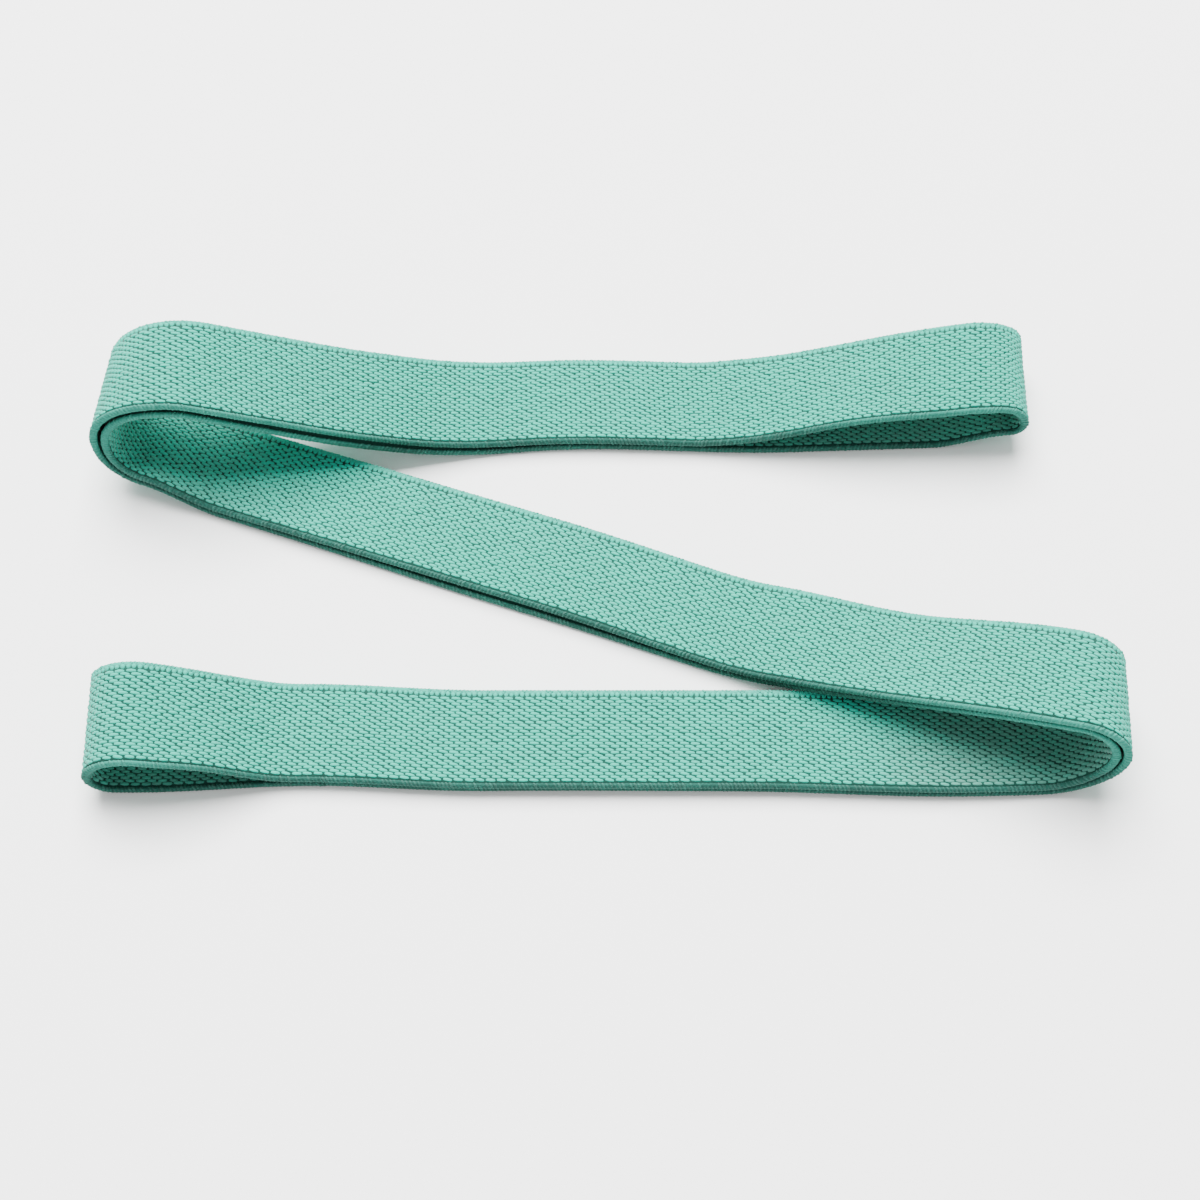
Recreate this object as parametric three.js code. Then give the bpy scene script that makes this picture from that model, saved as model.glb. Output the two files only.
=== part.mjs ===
// A long resistance band: one closed loop of woven elastic webbing, pressed to a strip of two layers
// and laid on a surface in a Z, with a loose fold at each turn and an open loop at each end.
// Every layer of webbing is two woven covers, a rubber core between them and a rolled edge on each side.
// Millimetres, +Z up. The origin is under the middle of the whole band, on the surface it lies on.
import * as THREE from 'three';

// The webbing.
const BAND_WIDTH = 32;
const COVER_THICKNESS = 0.75;
const CORE_THICKNESS = 0.6;
const EDGE_WIDTH = 1.5;
const EDGE_CHAMFER = 0.6;
const PLY_GAP = 0.3; // clearance between plies that touch
const LAYER_GAP = 0.5; // clearance between the two layers of the strip
const CUT_GAP = 0.5; // clearance where one moving length of the band meets the next

// The Z: three straight runs, and how far each is turned from the one before.
const LOWER_RUN = 281.5;
const MIDDLE_RUN = 190;
const UPPER_RUN = 159;
const MIDDLE_TURN = 18.5;
const UPPER_HEADING = 2;

// The bends. Each leaves the surface on its first radius, goes over the top on its second, comes down
// a straight slope (degrees from level) and lands on a wide radius. The right fold's slope follows from
// how high the middle run passes over the far edge of the lower one.
const RIGHT_FOLD = { first: 18, firstTurn: 80, second: 11.2, landing: 70 };
const RIGHT_FOLD_PASS = 0.7; // clearance over the lower run's far edge
const LEFT_FOLD = { first: 11.3, firstTurn: 77, second: 22, slope: 23.5, landing: 88 };
const LOWER_LOOP = { first: 6.3, firstTurn: 90, second: 13.4, slope: 22, landing: 33 };
const UPPER_LOOP = { first: 5, firstTurn: 104, second: 16.7, slope: 10.2, landing: 64 };
const LOOP_TO_CUT = 6; // from where a loop's layers meet to the end of the piece that slides
const ARC_STEP = 15; // degrees between the faces of a bend

// The sewn join, on the roof of the left fold.
const LAP_LENGTH = 40;
const LAP_THICKNESS = 2.2;
const LAP_INSET = 2; // narrower than the webbing on each side
const STITCH_WIDTH = 1.2;
const STITCH_THICKNESS = 0.5;
const STITCH_INSET = 5; // from each end of the lap to its row of stitches

const LAYER = 2 * COVER_THICKNESS + CORE_THICKNESS + 2 * PLY_GAP;
const LAYER_OFFSET = (LAYER + LAYER_GAP) / 2;
const UP = new THREE.Vector3(0, 0, 1);
const SLOPE_ROUNDS = 20; // enough for the right fold's slope to settle
const { degToRad, radToDeg } = THREE.MathUtils;

const MATERIALS = {
  cover: { color: 0x7fcbb5, roughness: 0.85, metalness: 0 },
  core: { color: 0xd8d2bc, roughness: 0.6, metalness: 0 },
  edge: { color: 0x9ad6c4, roughness: 0.8, metalness: 0 },
  lap: { color: 0x74bfa9, roughness: 0.85, metalness: 0 },
  stitch: { color: 0x2f7a66, roughness: 0.7, metalness: 0 },
};

// ---------------------------------------------------------------- the path of the webbing

// A level direction, from its heading in degrees.
function heading(degrees) {
  return new THREE.Vector3(Math.cos(degToRad(degrees)), Math.sin(degToRad(degrees)), 0);
}

// The side view of a bend: distance forward, height, length along it and the angle turned so far.
function bendProfile(bend, landingHeight) {
  const points = [{ forward: 0, height: 0, length: 0, turn: 0 }];
  const arcTo = (radius, target) => {
    const sweep = target - points.at(-1).turn;
    const steps = Math.ceil(Math.abs(sweep) / ARC_STEP);
    for (let i = 0; i < steps; i += 1) {
      const last = points.at(-1);
      const turn = last.turn + sweep / steps;
      const signed = radius * Math.sign(sweep);
      const [from, to] = [degToRad(last.turn), degToRad(turn)];
      points.push({
        forward: last.forward + signed * (Math.sin(to) - Math.sin(from)),
        height: last.height + signed * (Math.cos(from) - Math.cos(to)),
        length: last.length + radius * Math.abs(to - from),
        turn,
      });
    }
  };
  const stops = [bend.firstTurn, 90, 180, 180 + bend.slope].sort((a, b) => a - b);
  for (const stop of stops) {
    arcTo(stop <= bend.firstTurn ? bend.first : bend.second, stop);
  }
  const top = points.at(-1);
  const slope = degToRad(bend.slope);
  const drop = top.height - landingHeight - bend.landing * (1 - Math.cos(slope));
  const run = drop / Math.sin(slope);
  points.push({
    forward: top.forward - run * Math.cos(slope),
    height: top.height - drop,
    length: top.length + run,
    turn: top.turn,
  });
  arcTo(bend.landing, 180);
  return points;
}

// The slope of a fold whose upper run passes at a given height over the corner where it leaves the
// lower run: the tangent from that corner to the top arc. The corner moves a little with the slope,
// so the two are worked out in turn.
function passingSlope(fold, slant, height) {
  const turn = degToRad(fold.firstTurn);
  const axisForward = (fold.first - fold.second) * Math.sin(turn);
  const axisHeight = fold.first - (fold.first - fold.second) * Math.cos(turn);
  let slope = slant;
  for (let round = 0; round < SLOPE_ROUNDS; round += 1) {
    const end = bendProfile({ ...fold, slope }, 0).at(-1);
    const crossing = (end.length + end.forward) / 2;
    const corner = crossing - BAND_WIDTH / (2 * Math.sin(degToRad(slant)));
    const [run, rise] = [axisForward - corner, axisHeight - height];
    slope = radToDeg(Math.atan2(rise, run) + Math.asin(fold.second / Math.hypot(run, rise)));
  }
  return slope;
}

// The lines across the webbing through a bend. forward is the level direction square to the fold,
// sideways the fold's own direction, and slant the angle between the webbing and forward.
// Each station holds its middle, the step across for each millimetre of width, and the way out of
// the face that looks up before the bend when side is 1.
function bendStations(profile, origin, forward, sideways, slant, side) {
  const tan = Math.tan(degToRad(slant));
  const stretch = 1 / Math.cos(degToRad(slant));
  return profile.map((point) => {
    const turn = degToRad(point.turn);
    const centre = origin.clone();
    centre.addScaledVector(forward, point.forward);
    centre.addScaledVector(sideways, point.length * tan);
    centre.addScaledVector(UP, point.height);
    const out = forward.clone().multiplyScalar(-Math.sin(turn)).addScaledVector(UP, Math.cos(turn));
    const ahead = forward.clone().multiplyScalar(Math.cos(turn)).addScaledVector(UP, Math.sin(turn));
    return {
      centre,
      across: sideways.clone().multiplyScalar(stretch),
      out: out.multiplyScalar(side),
      ahead,
      turn: point.turn,
    };
  });
}

// The same station a little further on, or back.
function shifted(station, distance) {
  return { ...station, centre: station.centre.clone().addScaledVector(station.ahead, distance) };
}

// A square line across a level run.
function levelStation(centre, ahead, across, side) {
  return { centre, across, out: UP.clone().multiplyScalar(side), ahead, turn: 0 };
}

const midHeight = LAYER + LAYER_GAP / 2;
const lowerAhead = heading(0);
const lowerAcross = heading(90);
const lowerStart = new THREE.Vector3(0, 0, midHeight);

const rightSlant = MIDDLE_TURN / 2;
const passHeight = 2 * LAYER_OFFSET + LAYER + RIGHT_FOLD_PASS;
const rightSlope = passingSlope(RIGHT_FOLD, rightSlant, passHeight);
const rightProfile = bendProfile({ ...RIGHT_FOLD, slope: rightSlope }, 0);
const rightStart = lowerStart.clone().addScaledVector(lowerAhead, LOWER_RUN);
const rightFold = bendStations(
  rightProfile, rightStart, heading(-rightSlant), heading(90 - rightSlant), rightSlant, 1,
);

const middleHeading = 180 - MIDDLE_TURN;
const middleStart = rightFold.at(-1).centre;
const leftSlant = (180 + UPPER_HEADING - middleHeading) / 2;
const leftForward = middleHeading + leftSlant;
const leftProfile = bendProfile(LEFT_FOLD, 0);
const leftStart = middleStart.clone().addScaledVector(heading(middleHeading), MIDDLE_RUN);
const leftFold = bendStations(
  leftProfile, leftStart, heading(leftForward), heading(leftForward - 90), leftSlant, -1,
);

const upperAhead = heading(UPPER_HEADING);
const upperAcross = heading(UPPER_HEADING + 90);
const upperStart = leftFold.at(-1).centre;
const upperEnd = upperStart.clone().addScaledVector(upperAhead, UPPER_RUN);

// A loop end: the lower layer runs forward on the surface, turns up and over and lands on itself.
function loopStations(bend, start, forward, across) {
  const profile = bendProfile(bend, LAYER + LAYER_GAP);
  const origin = start.clone().setZ(LAYER / 2);
  const curve = bendStations(profile, origin, forward, across, 0, -1);
  const reach = curve.at(-1).centre.clone().sub(origin).dot(forward) - LOOP_TO_CUT;
  const under = levelStation(origin.clone().addScaledVector(forward, reach), forward, across, -1);
  const over = shifted(curve.at(-1), LOOP_TO_CUT);
  return { stations: [under, ...curve, over], reach };
}

const lowerLoop = loopStations(LOWER_LOOP, lowerStart, heading(180), lowerAcross);
const upperLoop = loopStations(UPPER_LOOP, upperEnd, upperAhead, upperAcross);

// Each run's stations, from its first cut to its last.
function split(fold) {
  const cut = fold.findIndex((station) => station.turn === 90);
  const before = [...fold.slice(0, cut), shifted(fold[cut], -CUT_GAP / 2)];
  const after = [shifted(fold[cut], CUT_GAP / 2), ...fold.slice(cut + 1)];
  return [before, after];
}

const [rightUnder, rightOver] = split(rightFold);
const [leftUnder, leftOver] = split(leftFold);
const lowerCut = lowerStart.clone().addScaledVector(lowerAhead, CUT_GAP - lowerLoop.reach);
const upperCut = upperEnd.clone().addScaledVector(upperAhead, upperLoop.reach - CUT_GAP);
const RUNS = {
  lower_run: [levelStation(lowerCut, lowerAhead, lowerAcross, 1), ...rightUnder],
  middle_run: [...rightOver, ...leftUnder],
  upper_run: [...leftOver, levelStation(upperCut, upperAhead, upperAcross, 1)],
};
const LOOPS = { lower_loop: lowerLoop.stations, upper_loop: upperLoop.stations };

// ---------------------------------------------------------------- the solids

// A closed solid: a convex section, as [across, out] points, carried through the stations.
function sweep(stations, section) {
  const positions = [];
  for (const { centre, across, out } of stations) {
    for (const [v, h] of section) {
      const corner = centre.clone().addScaledVector(across, v).addScaledVector(out, h);
      positions.push(corner.x, corner.y, corner.z);
    }
  }
  const count = section.length;
  const last = (stations.length - 1) * count;
  const faces = [];
  for (let i = 0; i < last; i += count) {
    for (let j = 0; j < count; j += 1) {
      const k = (j + 1) % count;
      faces.push([i + j, i + k, i + count + k], [i + j, i + count + k, i + count + j]);
    }
  }
  for (let j = 1; j < count - 1; j += 1) {
    faces.push([0, j + 1, j], [last, last + j, last + j + 1]);
  }
  const geometry = new THREE.BufferGeometry();
  geometry.setAttribute('position', new THREE.Float32BufferAttribute(positions, 3));
  geometry.setIndex(outward(faces, positions).flat());
  geometry.computeVertexNormals();
  return geometry;
}

// The faces, turned over if they look inwards.
function outward(faces, positions) {
  const corner = (i) => new THREE.Vector3().fromArray(positions, 3 * i);
  const middle = corner(0);
  let volume = 0;
  for (const [a, b, c] of faces) {
    const [p, q, r] = [a, b, c].map((i) => corner(i).sub(middle));
    volume += p.dot(q.cross(r));
  }
  return volume > 0 ? faces : faces.map(([a, b, c]) => [a, c, b]);
}

// A rectangle between two distances across and two distances out.
function plate(left, right, bottom, top) {
  return [[left, bottom], [right, bottom], [right, top], [left, top]];
}

// The rolled edge, square against the plies and chamfered outside. end is -1 or 1.
function edgeSection(end, offset) {
  const inner = BAND_WIDTH / 2 - EDGE_WIDTH;
  const outer = BAND_WIDTH / 2;
  const half = LAYER / 2;
  const shape = [
    [inner, -half], [outer - EDGE_CHAMFER, -half], [outer, EDGE_CHAMFER - half],
    [outer, half - EDGE_CHAMFER], [outer - EDGE_CHAMFER, half], [inner, half],
  ];
  return shape.map(([v, h]) => [v * end, h + offset]);
}

// The sections of one layer of webbing. face is the side of it that looks away from the other layer.
function layerSections(offset, face) {
  const half = BAND_WIDTH / 2 - EDGE_WIDTH - PLY_GAP;
  const near = CORE_THICKNESS / 2 + PLY_GAP;
  const far = near + COVER_THICKNESS;
  return {
    outside_cover: plate(-half, half, offset + near * face, offset + far * face),
    core: plate(-half, half, offset - CORE_THICKNESS / 2, offset + CORE_THICKNESS / 2),
    inside_cover: plate(-half, half, offset - near * face, offset - far * face),
    near_edge: edgeSection(-1, offset),
    far_edge: edgeSection(1, offset),
  };
}

const SLOT_OF = {
  outside_cover: 'cover',
  inside_cover: 'cover',
  core: 'core',
  near_edge: 'edge',
  far_edge: 'edge',
};

const band = new THREE.Group();

function addPiece(name, slot, geometry) {
  const mesh = new THREE.Mesh(geometry, new THREE.MeshStandardMaterial(MATERIALS[slot]));
  mesh.name = name;
  band.add(mesh);
}

for (const [run, stations] of Object.entries(RUNS)) {
  for (const [strand, side] of [['a', 1], ['b', -1]]) {
    const sections = layerSections(side * LAYER_OFFSET, side);
    for (const [ply, section] of Object.entries(sections)) {
      addPiece(`${run}_${strand}_${ply}`, SLOT_OF[ply], sweep(stations, section));
    }
  }
}

for (const [loop, stations] of Object.entries(LOOPS)) {
  for (const [ply, section] of Object.entries(layerSections(0, 1))) {
    addPiece(`${loop}_${ply}`, SLOT_OF[ply], sweep(stations, section));
  }
}

// The sewn join: the webbing's free end lies under strand b on the left fold's slope, held by two
// rows of stitches.
const slopeTop = leftFold.at(-2 - Math.ceil(LEFT_FOLD.slope / ARC_STEP));
const slopeFoot = leftFold.at(-1 - Math.ceil(LEFT_FOLD.slope / ARC_STEP));
const slopeLength = slopeFoot.centre.distanceTo(slopeTop.centre);
const lapFace = -(LAYER_OFFSET + LAYER / 2 + PLY_GAP);
const lapHalf = BAND_WIDTH / 2 - LAP_INSET;

// A short length of the slope, between two distances from its middle.
function slopeStations(from, to) {
  return [from, to].map((distance) => {
    const part = 0.5 + distance / slopeLength;
    const centre = slopeTop.centre.clone().lerp(slopeFoot.centre, part);
    return { ...slopeTop, centre };
  });
}

const lapSection = plate(-lapHalf, lapHalf, lapFace - LAP_THICKNESS, lapFace);
addPiece('join_lap', 'lap', sweep(slopeStations(-LAP_LENGTH / 2, LAP_LENGTH / 2), lapSection));

const stitchFace = lapFace - LAP_THICKNESS - PLY_GAP;
const stitchHalf = lapHalf - LAP_INSET;
const stitchSection = plate(-stitchHalf, stitchHalf, stitchFace - STITCH_THICKNESS, stitchFace);
for (const [row, end] of [['upper', -1], ['lower', 1]]) {
  const middle = end * (LAP_LENGTH / 2 - STITCH_INSET);
  const ends = slopeStations(middle - STITCH_WIDTH / 2, middle + STITCH_WIDTH / 2);
  addPiece(`join_${row}_stitches`, 'stitch', sweep(ends, stitchSection));
}

// Stand the band on its origin: the middle of its length and width, level with its lowest face.
const box = new THREE.Box3().setFromObject(band);
const middle = box.getCenter(new THREE.Vector3());
band.position.set(-middle.x, -middle.y, -box.min.z);

export default band;
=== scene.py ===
"""A resistance band: one closed loop of woven elastic webbing, pressed to a strip of two layers.

The strip lies in a Z, with a loose fold at each turn and an open loop at each end. Every layer of
webbing is a ground cloth, coloured very dark as painted shade in the gaps between the floats, with
rows of light floats woven over it and a ribbed roll along each edge. The webbing is woven flat, as
the floats and ribs are laid out, and then carried along the path of its strand.
"""

import logging
import math
from dataclasses import dataclass, field, replace
from enum import Enum

import bpy
import numpy as np
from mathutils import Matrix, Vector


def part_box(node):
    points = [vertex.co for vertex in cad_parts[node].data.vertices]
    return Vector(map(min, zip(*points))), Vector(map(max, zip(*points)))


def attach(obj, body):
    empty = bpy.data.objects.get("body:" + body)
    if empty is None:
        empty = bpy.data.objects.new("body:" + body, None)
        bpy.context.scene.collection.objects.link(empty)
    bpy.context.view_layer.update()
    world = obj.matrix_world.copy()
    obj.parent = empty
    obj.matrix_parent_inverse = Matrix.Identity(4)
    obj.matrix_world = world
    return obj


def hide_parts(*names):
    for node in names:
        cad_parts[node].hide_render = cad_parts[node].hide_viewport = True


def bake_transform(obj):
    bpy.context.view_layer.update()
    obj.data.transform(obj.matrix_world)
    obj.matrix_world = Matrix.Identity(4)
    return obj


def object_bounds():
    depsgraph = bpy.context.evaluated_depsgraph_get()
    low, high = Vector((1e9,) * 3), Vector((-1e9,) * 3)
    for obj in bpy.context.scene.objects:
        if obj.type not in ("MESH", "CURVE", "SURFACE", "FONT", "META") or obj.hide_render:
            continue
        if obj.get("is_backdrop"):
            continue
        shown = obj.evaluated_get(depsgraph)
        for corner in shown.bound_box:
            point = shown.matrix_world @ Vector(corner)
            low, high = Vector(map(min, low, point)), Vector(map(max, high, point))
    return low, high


logging.basicConfig(level=logging.INFO, format="%(message)s")
LOG = logging.getLogger("band")

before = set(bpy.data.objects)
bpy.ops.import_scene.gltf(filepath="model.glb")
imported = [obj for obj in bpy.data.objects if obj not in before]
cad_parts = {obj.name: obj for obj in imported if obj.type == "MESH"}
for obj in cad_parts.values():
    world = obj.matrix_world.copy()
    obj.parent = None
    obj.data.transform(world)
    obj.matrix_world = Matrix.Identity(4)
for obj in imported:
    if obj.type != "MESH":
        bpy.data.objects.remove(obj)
CAD_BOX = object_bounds()

Feed = bpy.types.NodeSocket | float | None

MM = 0.001


# ------------------------------------------------------------------ sizes and named options


class Strand(Enum):
    """The two layers of the strip. The value is the side of the strip's middle that it lies on."""

    A = 1
    B = -1

    @property
    def letter(self) -> str:
        """The letter used in piece names."""
        return self.name.lower()


class Edge(Enum):
    """The two edges of the webbing. The value is the side across the webbing."""

    NEAR = -1
    FAR = 1


class Face(Enum):
    """The two faces of the webbing. The value is the way out of the face."""

    OUTSIDE = 1
    INSIDE = -1


class Held(Enum):
    """How a length of webbing is held."""

    LAID = "laid"
    FOLDED = "folded"


@dataclass(frozen=True)
class Webbing:
    """Sizes of one layer of webbing, in metres."""

    width: float = 32 * MM
    thickness: float = 2.7 * MM
    layer_gap: float = 0.5 * MM
    ground: float = 1.85 * MM
    roll: float = 0.8 * MM
    column: float = 3.24 * MM
    row: float = 0.985 * MM
    rows: int = 28
    first_row: float = -13.75 * MM
    float_tilt: float = 0.075
    float_waver: float = 0.1
    float_stray: float = 0.09 * MM
    rib: float = 1.2 * MM
    rib_cover: float = 0.08 * MM
    roll_tuck: float = 0.05 * MM
    far_roll_extra: float = 0.25 * MM
    step: float = 2.0 * MM

    @property
    def layer_offset(self) -> float:
        """From the strip's middle to the middle of a layer."""
        return (self.thickness + self.layer_gap) / 2

    @property
    def mid_height(self) -> float:
        """Height of the strip's middle where it lies flat."""
        return self.thickness + self.layer_gap / 2

    @property
    def roll_centre(self) -> float:
        """From the middle of the webbing to the middle of an edge roll."""
        return self.width / 2 - self.roll + self.roll_tuck


WEBBING = Webbing()


@dataclass(frozen=True)
class Bend:
    """A bend, in metres and degrees: two radii over the top, a straight slope, a wide landing."""

    first: float
    first_turn: float
    second: float
    slope: float
    landing: float


RIGHT_BEND = Bend(18 * MM, 80, 11.2 * MM, 15.51, 70 * MM)
LEFT_BEND = Bend(11.3 * MM, 77, 22 * MM, 23.5, 88 * MM)
LOWER_BEND = Bend(6.3 * MM, 90, 13.4 * MM, 22, 33 * MM)
UPPER_BEND = Bend(5 * MM, 104, 16.7 * MM, 10.2, 64 * MM)

LOWER_RUN = 281.5 * MM
MIDDLE_RUN = 190 * MM
UPPER_RUN = 159 * MM
MIDDLE_TURN = 18.5
UPPER_HEADING = 2

# Where the lengths of webbing meet: beyond the loops' landings, along the strip, beyond the middle of
# the middle run, and back from the upper loop.
LOOP_TO_CUT = 6 * MM
RIGHT_FOLD_CUT = 250 * MM
LEFT_FOLD_CUT = 60 * MM
UPPER_STRETCH = 130 * MM

# A fold's webbing turns with its hinge between two heights: above the run below, and under its own roof.
BLEND_ABOVE_RUN = 0.7 * MM
BLEND_UNDER_ROOF = 1.2 * MM


def heading(degrees: float) -> np.ndarray:
    """A level direction.

    Args:
        degrees: Its heading, from +X towards +Y.

    Returns:
        A unit vector.
    """
    turn = math.radians(degrees)
    return np.array([math.cos(turn), math.sin(turn), 0.0])


def smooth(value: np.ndarray) -> np.ndarray:
    """A smooth rise from 0 to 1 while value goes from 0 to 1."""
    t = np.clip(value, 0, 1)
    return t * t * (3 - 2 * t)


# ------------------------------------------------------------------ the path of the webbing


class BendProfile:
    """The side view of a bend, as arcs and one straight slope."""

    def __init__(self, bend: Bend, landing_height: float) -> None:
        """Works out where each arc starts.

        Args:
            bend: The bend's radii and slope.
            landing_height: Height at which it lands, above where it starts.
        """
        self.starts = [(0.0, 0.0, 0.0, 0.0)]
        self.curvatures: list[float] = []
        for turn, radius in ((bend.first_turn, bend.first), (180 + bend.slope, bend.second)):
            self._arc(radius, math.radians(turn))
        slope = math.radians(bend.slope)
        _, _, height, _ = self.starts[-1]
        drop = height - landing_height - bend.landing * (1 - math.cos(slope))
        self._line(drop / math.sin(slope))
        self.slope_range = (self.starts[-2][0], self.starts[-1][0])
        self._arc(bend.landing, math.pi)
        self.length = self.starts[-1][0]
        self.peak = self._length_at(math.pi)

    def _add(self, length: float, curvature: float) -> None:
        """Adds a piece of that length and curvature."""
        start, forward, height, turn = self.starts[-1]
        ahead, up, end = self._along(np.array([length]), forward, height, turn, curvature)
        self.curvatures.append(curvature)
        self.starts.append((start + length, float(ahead[0]), float(up[0]), float(end[0])))

    def _arc(self, radius: float, target: float) -> None:
        """Adds an arc that turns to the target angle."""
        sweep = target - self.starts[-1][3]
        self._add(radius * abs(sweep), math.copysign(1 / radius, sweep))

    def _line(self, length: float) -> None:
        """Adds a straight piece."""
        self._add(length, 0.0)

    def _length_at(self, turn: float) -> float:
        """Length along the bend at which it has first turned by that angle."""
        stretches = zip(self.starts, self.starts[1:], self.curvatures)
        for (start, _, _, begin), (_, _, _, end), bow in stretches:
            if bow > 0 and begin <= turn <= end:
                return start + (turn - begin) / bow
        return self.length

    @staticmethod
    def _along(
        length: np.ndarray, forward: float, height: float, turn: float, curvature: float
    ) -> tuple[np.ndarray, np.ndarray, np.ndarray]:
        """Follows one piece from its start.

        Args:
            length: Lengths along the piece.
            forward: Distance forward at its start.
            height: Height at its start.
            turn: Angle turned at its start.
            curvature: Its curvature, or 0 where it is straight.

        Returns:
            Distance forward, height, and the angle turned so far.
        """
        if curvature == 0:
            ahead = forward + length * math.cos(turn)
            return ahead, height + length * math.sin(turn), np.full_like(length, turn)
        end = turn + length * curvature
        ahead = forward + (np.sin(end) - math.sin(turn)) / curvature
        return ahead, height + (math.cos(turn) - np.cos(end)) / curvature, end

    def at(self, length: np.ndarray) -> tuple[np.ndarray, np.ndarray, np.ndarray]:
        """Where the bend is at each length along it. Before and after it, the webbing is level.

        Args:
            length: Lengths along the bend.

        Returns:
            Distance forward, height, and the angle turned so far.
        """
        forward, height, turn = length.copy(), np.zeros_like(length), np.zeros_like(length)
        curvatures = [*self.curvatures, 0.0]
        for (start, ahead, up, begin), bow in zip(self.starts, curvatures):
            here = length >= start
            placed = self._along(length[here] - start, ahead, up, begin, bow)
            forward[here], height[here], turn[here] = placed
        return forward, height, turn


@dataclass(frozen=True)
class Across:
    """A value that changes evenly from the near edge of the webbing to the far one."""

    near: float = 0.0
    far: float = 0.0

    def at(self, across: np.ndarray) -> np.ndarray:
        """The value at each distance across the webbing."""
        return self.near + (self.far - self.near) * (across / WEBBING.width + 0.5)


@dataclass(frozen=True)
class Slack:
    """How limp webbing departs from an even bend, in metres.

    spread opens a gap between the two layers round the bend, reach pushes its tip out, lift raises its
    top, heel raises the webbing under it, and sag lowers its slope.
    """

    spread: float = 0.0
    reach: Across = Across()
    lift: Across = Across()
    heel: Across = Across()
    sag: Across = Across()


RIGHT_SLACK = Slack(
    0.15 * MM, reach=Across(1.4 * MM, -1.6 * MM), lift=Across(2.6 * MM, 0.0), sag=Across(1 * MM, 6 * MM)
)
LEFT_SLACK = Slack(0.5 * MM, reach=Across(0.6 * MM, 2.8 * MM), heel=Across(6.5 * MM, 1.5 * MM))
LOWER_SLACK = Slack(
    reach=Across(0.4 * MM, 0.5 * MM), lift=Across(1.6 * MM, 4.4 * MM), sag=Across(-2 * MM, 0.0)
)
UPPER_SLACK = Slack(
    reach=Across(-2 * MM, 1.2 * MM), lift=Across(1.5 * MM, 5 * MM), heel=Across(6.5 * MM, 2 * MM),
    sag=Across(-3 * MM, -0.5 * MM),
)


@dataclass(frozen=True)
class Bow:
    """A gentle sideways bow of a run: how far it goes, and where."""

    by: float
    at: float
    half: float

    def at_distance(self, along: np.ndarray) -> np.ndarray:
        """How far the webbing has bowed at each distance along it."""
        return self.by * (1 - smooth(np.abs(along - self.at) / self.half))


# Sideways bows of the whole strip, and how far each layer slips out beside the other.
BOWS = (
    Bow(2.1 * MM, 58 * MM, 52 * MM),
    Bow(-1.3 * MM, 250 * MM, 60 * MM),
    Bow(-2.0 * MM, 425 * MM, 75 * MM),
    Bow(3.8 * MM, 813 * MM, 78 * MM),
)
SLIPS = {
    1: (Bow(-1.3 * MM, 505 * MM, 92 * MM),),
    -1: (Bow(0.6 * MM, 140 * MM, 110 * MM), Bow(-1.5 * MM, 745 * MM, 100 * MM)),
}


def bowed(along: np.ndarray) -> np.ndarray:
    """How far the strip has bowed sideways at each distance along it."""
    total = np.zeros_like(along)
    for bow in BOWS:
        total += bow.at_distance(along)
    return total


@dataclass(frozen=True)
class Drape:
    """Where along a bend its slack and its painted shade come and go, measured from where the bend begins.

    Ramps are in metres. The gap and the push of the tip are there after one part in opens of the way to
    the peak, and fade out from closes of that way over closing of the bend's length. The heel fades from
    heel_fades of the way to the peak. The slope sags about a point between the peak and the bend's end.
    The painted shade starts shade_early ramps before the bend, and fades over the last part of its length.
    """

    opens: float = 2
    closes: float = 1.2
    closing: float = 0.45
    heel_ramp: float = 25 * MM
    heel_fades: float = 0.3
    sag_before: float = 0.57
    sag_after: float = 0.43
    sag_half: float = 0.4
    shade_ramp: float = 50 * MM
    shade_early: float = 1.4
    shade_fades: float = 0.7
    shade_fading: float = 0.3


DRAPE = Drape()


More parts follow.
